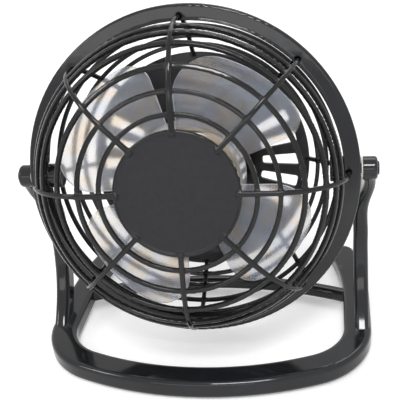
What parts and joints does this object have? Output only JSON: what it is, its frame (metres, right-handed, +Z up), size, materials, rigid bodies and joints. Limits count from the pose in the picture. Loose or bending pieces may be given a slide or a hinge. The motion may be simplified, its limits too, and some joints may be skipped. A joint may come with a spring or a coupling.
{
  "type": "desk fan",
  "caption": "Small desk fan with a guarded paddle-blade impeller in a round drum head that tilts between the bowed arms of a black moulded stand.",
  "frame": {"origin": "on the table, under the middle of the overall box", "axes": "+Z up, -Y towards the front of the fan, +X to the right seen from the front"},
  "size_m": [0.1548, 0.1114, 0.1539],
  "materials": {
    "black_gloss": "glossy moulded black plastic",
    "foot_rubber": "matt black rubber",
    "washer_nylon": "natural nylon",
    "steel": "turned steel",
    "can_steel": "drawn zinc-plated steel",
    "core_steel": "laminated steel",
    "inner_plastic": "matt dark plastic",
    "button_plastic": "fine matt black plastic",
    "bronze": "sintered bronze",
    "ferrite": "ferrite",
    "carbon": "carbon",
    "copper": "copper",
    "smoke_plastic": "smoky translucent plastic"
  },
  "bodies": {
    "stand": {"stand_frame": "black_gloss", "rubber_feet": "foot_rubber", "pivot_pin_left": "black_gloss", "pivot_pin_right": "black_gloss", "friction_washers": "washer_nylon"},
    "head": {"guard_ring": "black_gloss", "front_grille": "black_gloss", "rear_grille": "black_gloss", "motor_housing": "black_gloss", "housing_screws": "steel", "cord_inlet": "foot_rubber", "switch_case": "inner_plastic", "motor_can": "can_steel", "motor_end_bell": "inner_plastic", "front_bush": "bronze", "rear_bush": "bronze", "motor_magnets": "ferrite", "brushes": "carbon", "motor_terminals": "copper", "motor_screws": "steel"},
    "impeller": {"impeller": "smoke_plastic", "motor_shaft": "steel", "rotor_core": "core_steel", "windings": "copper", "commutator": "copper"},
    "switch": {"switch_button": "button_plastic"}
  },
  "joints": [
    {"name": "head_tilt", "type": "hinge", "parent": "stand", "child": "head", "pos_m": [0, -0.0083, 0.0842], "axis": [-1, 0, 0], "range_deg": [-32, 78]},
    {"name": "impeller_spin", "type": "hinge", "parent": "head", "child": "impeller", "pos_m": [0, -0.0083, 0.0842], "axis": [0, -0.9781, 0.2079], "continuous": true},
    {"name": "switch_slide", "type": "slide", "parent": "head", "child": "switch", "axis": [1, 0, 0], "range_m": [0, 0.003]}
  ]
}
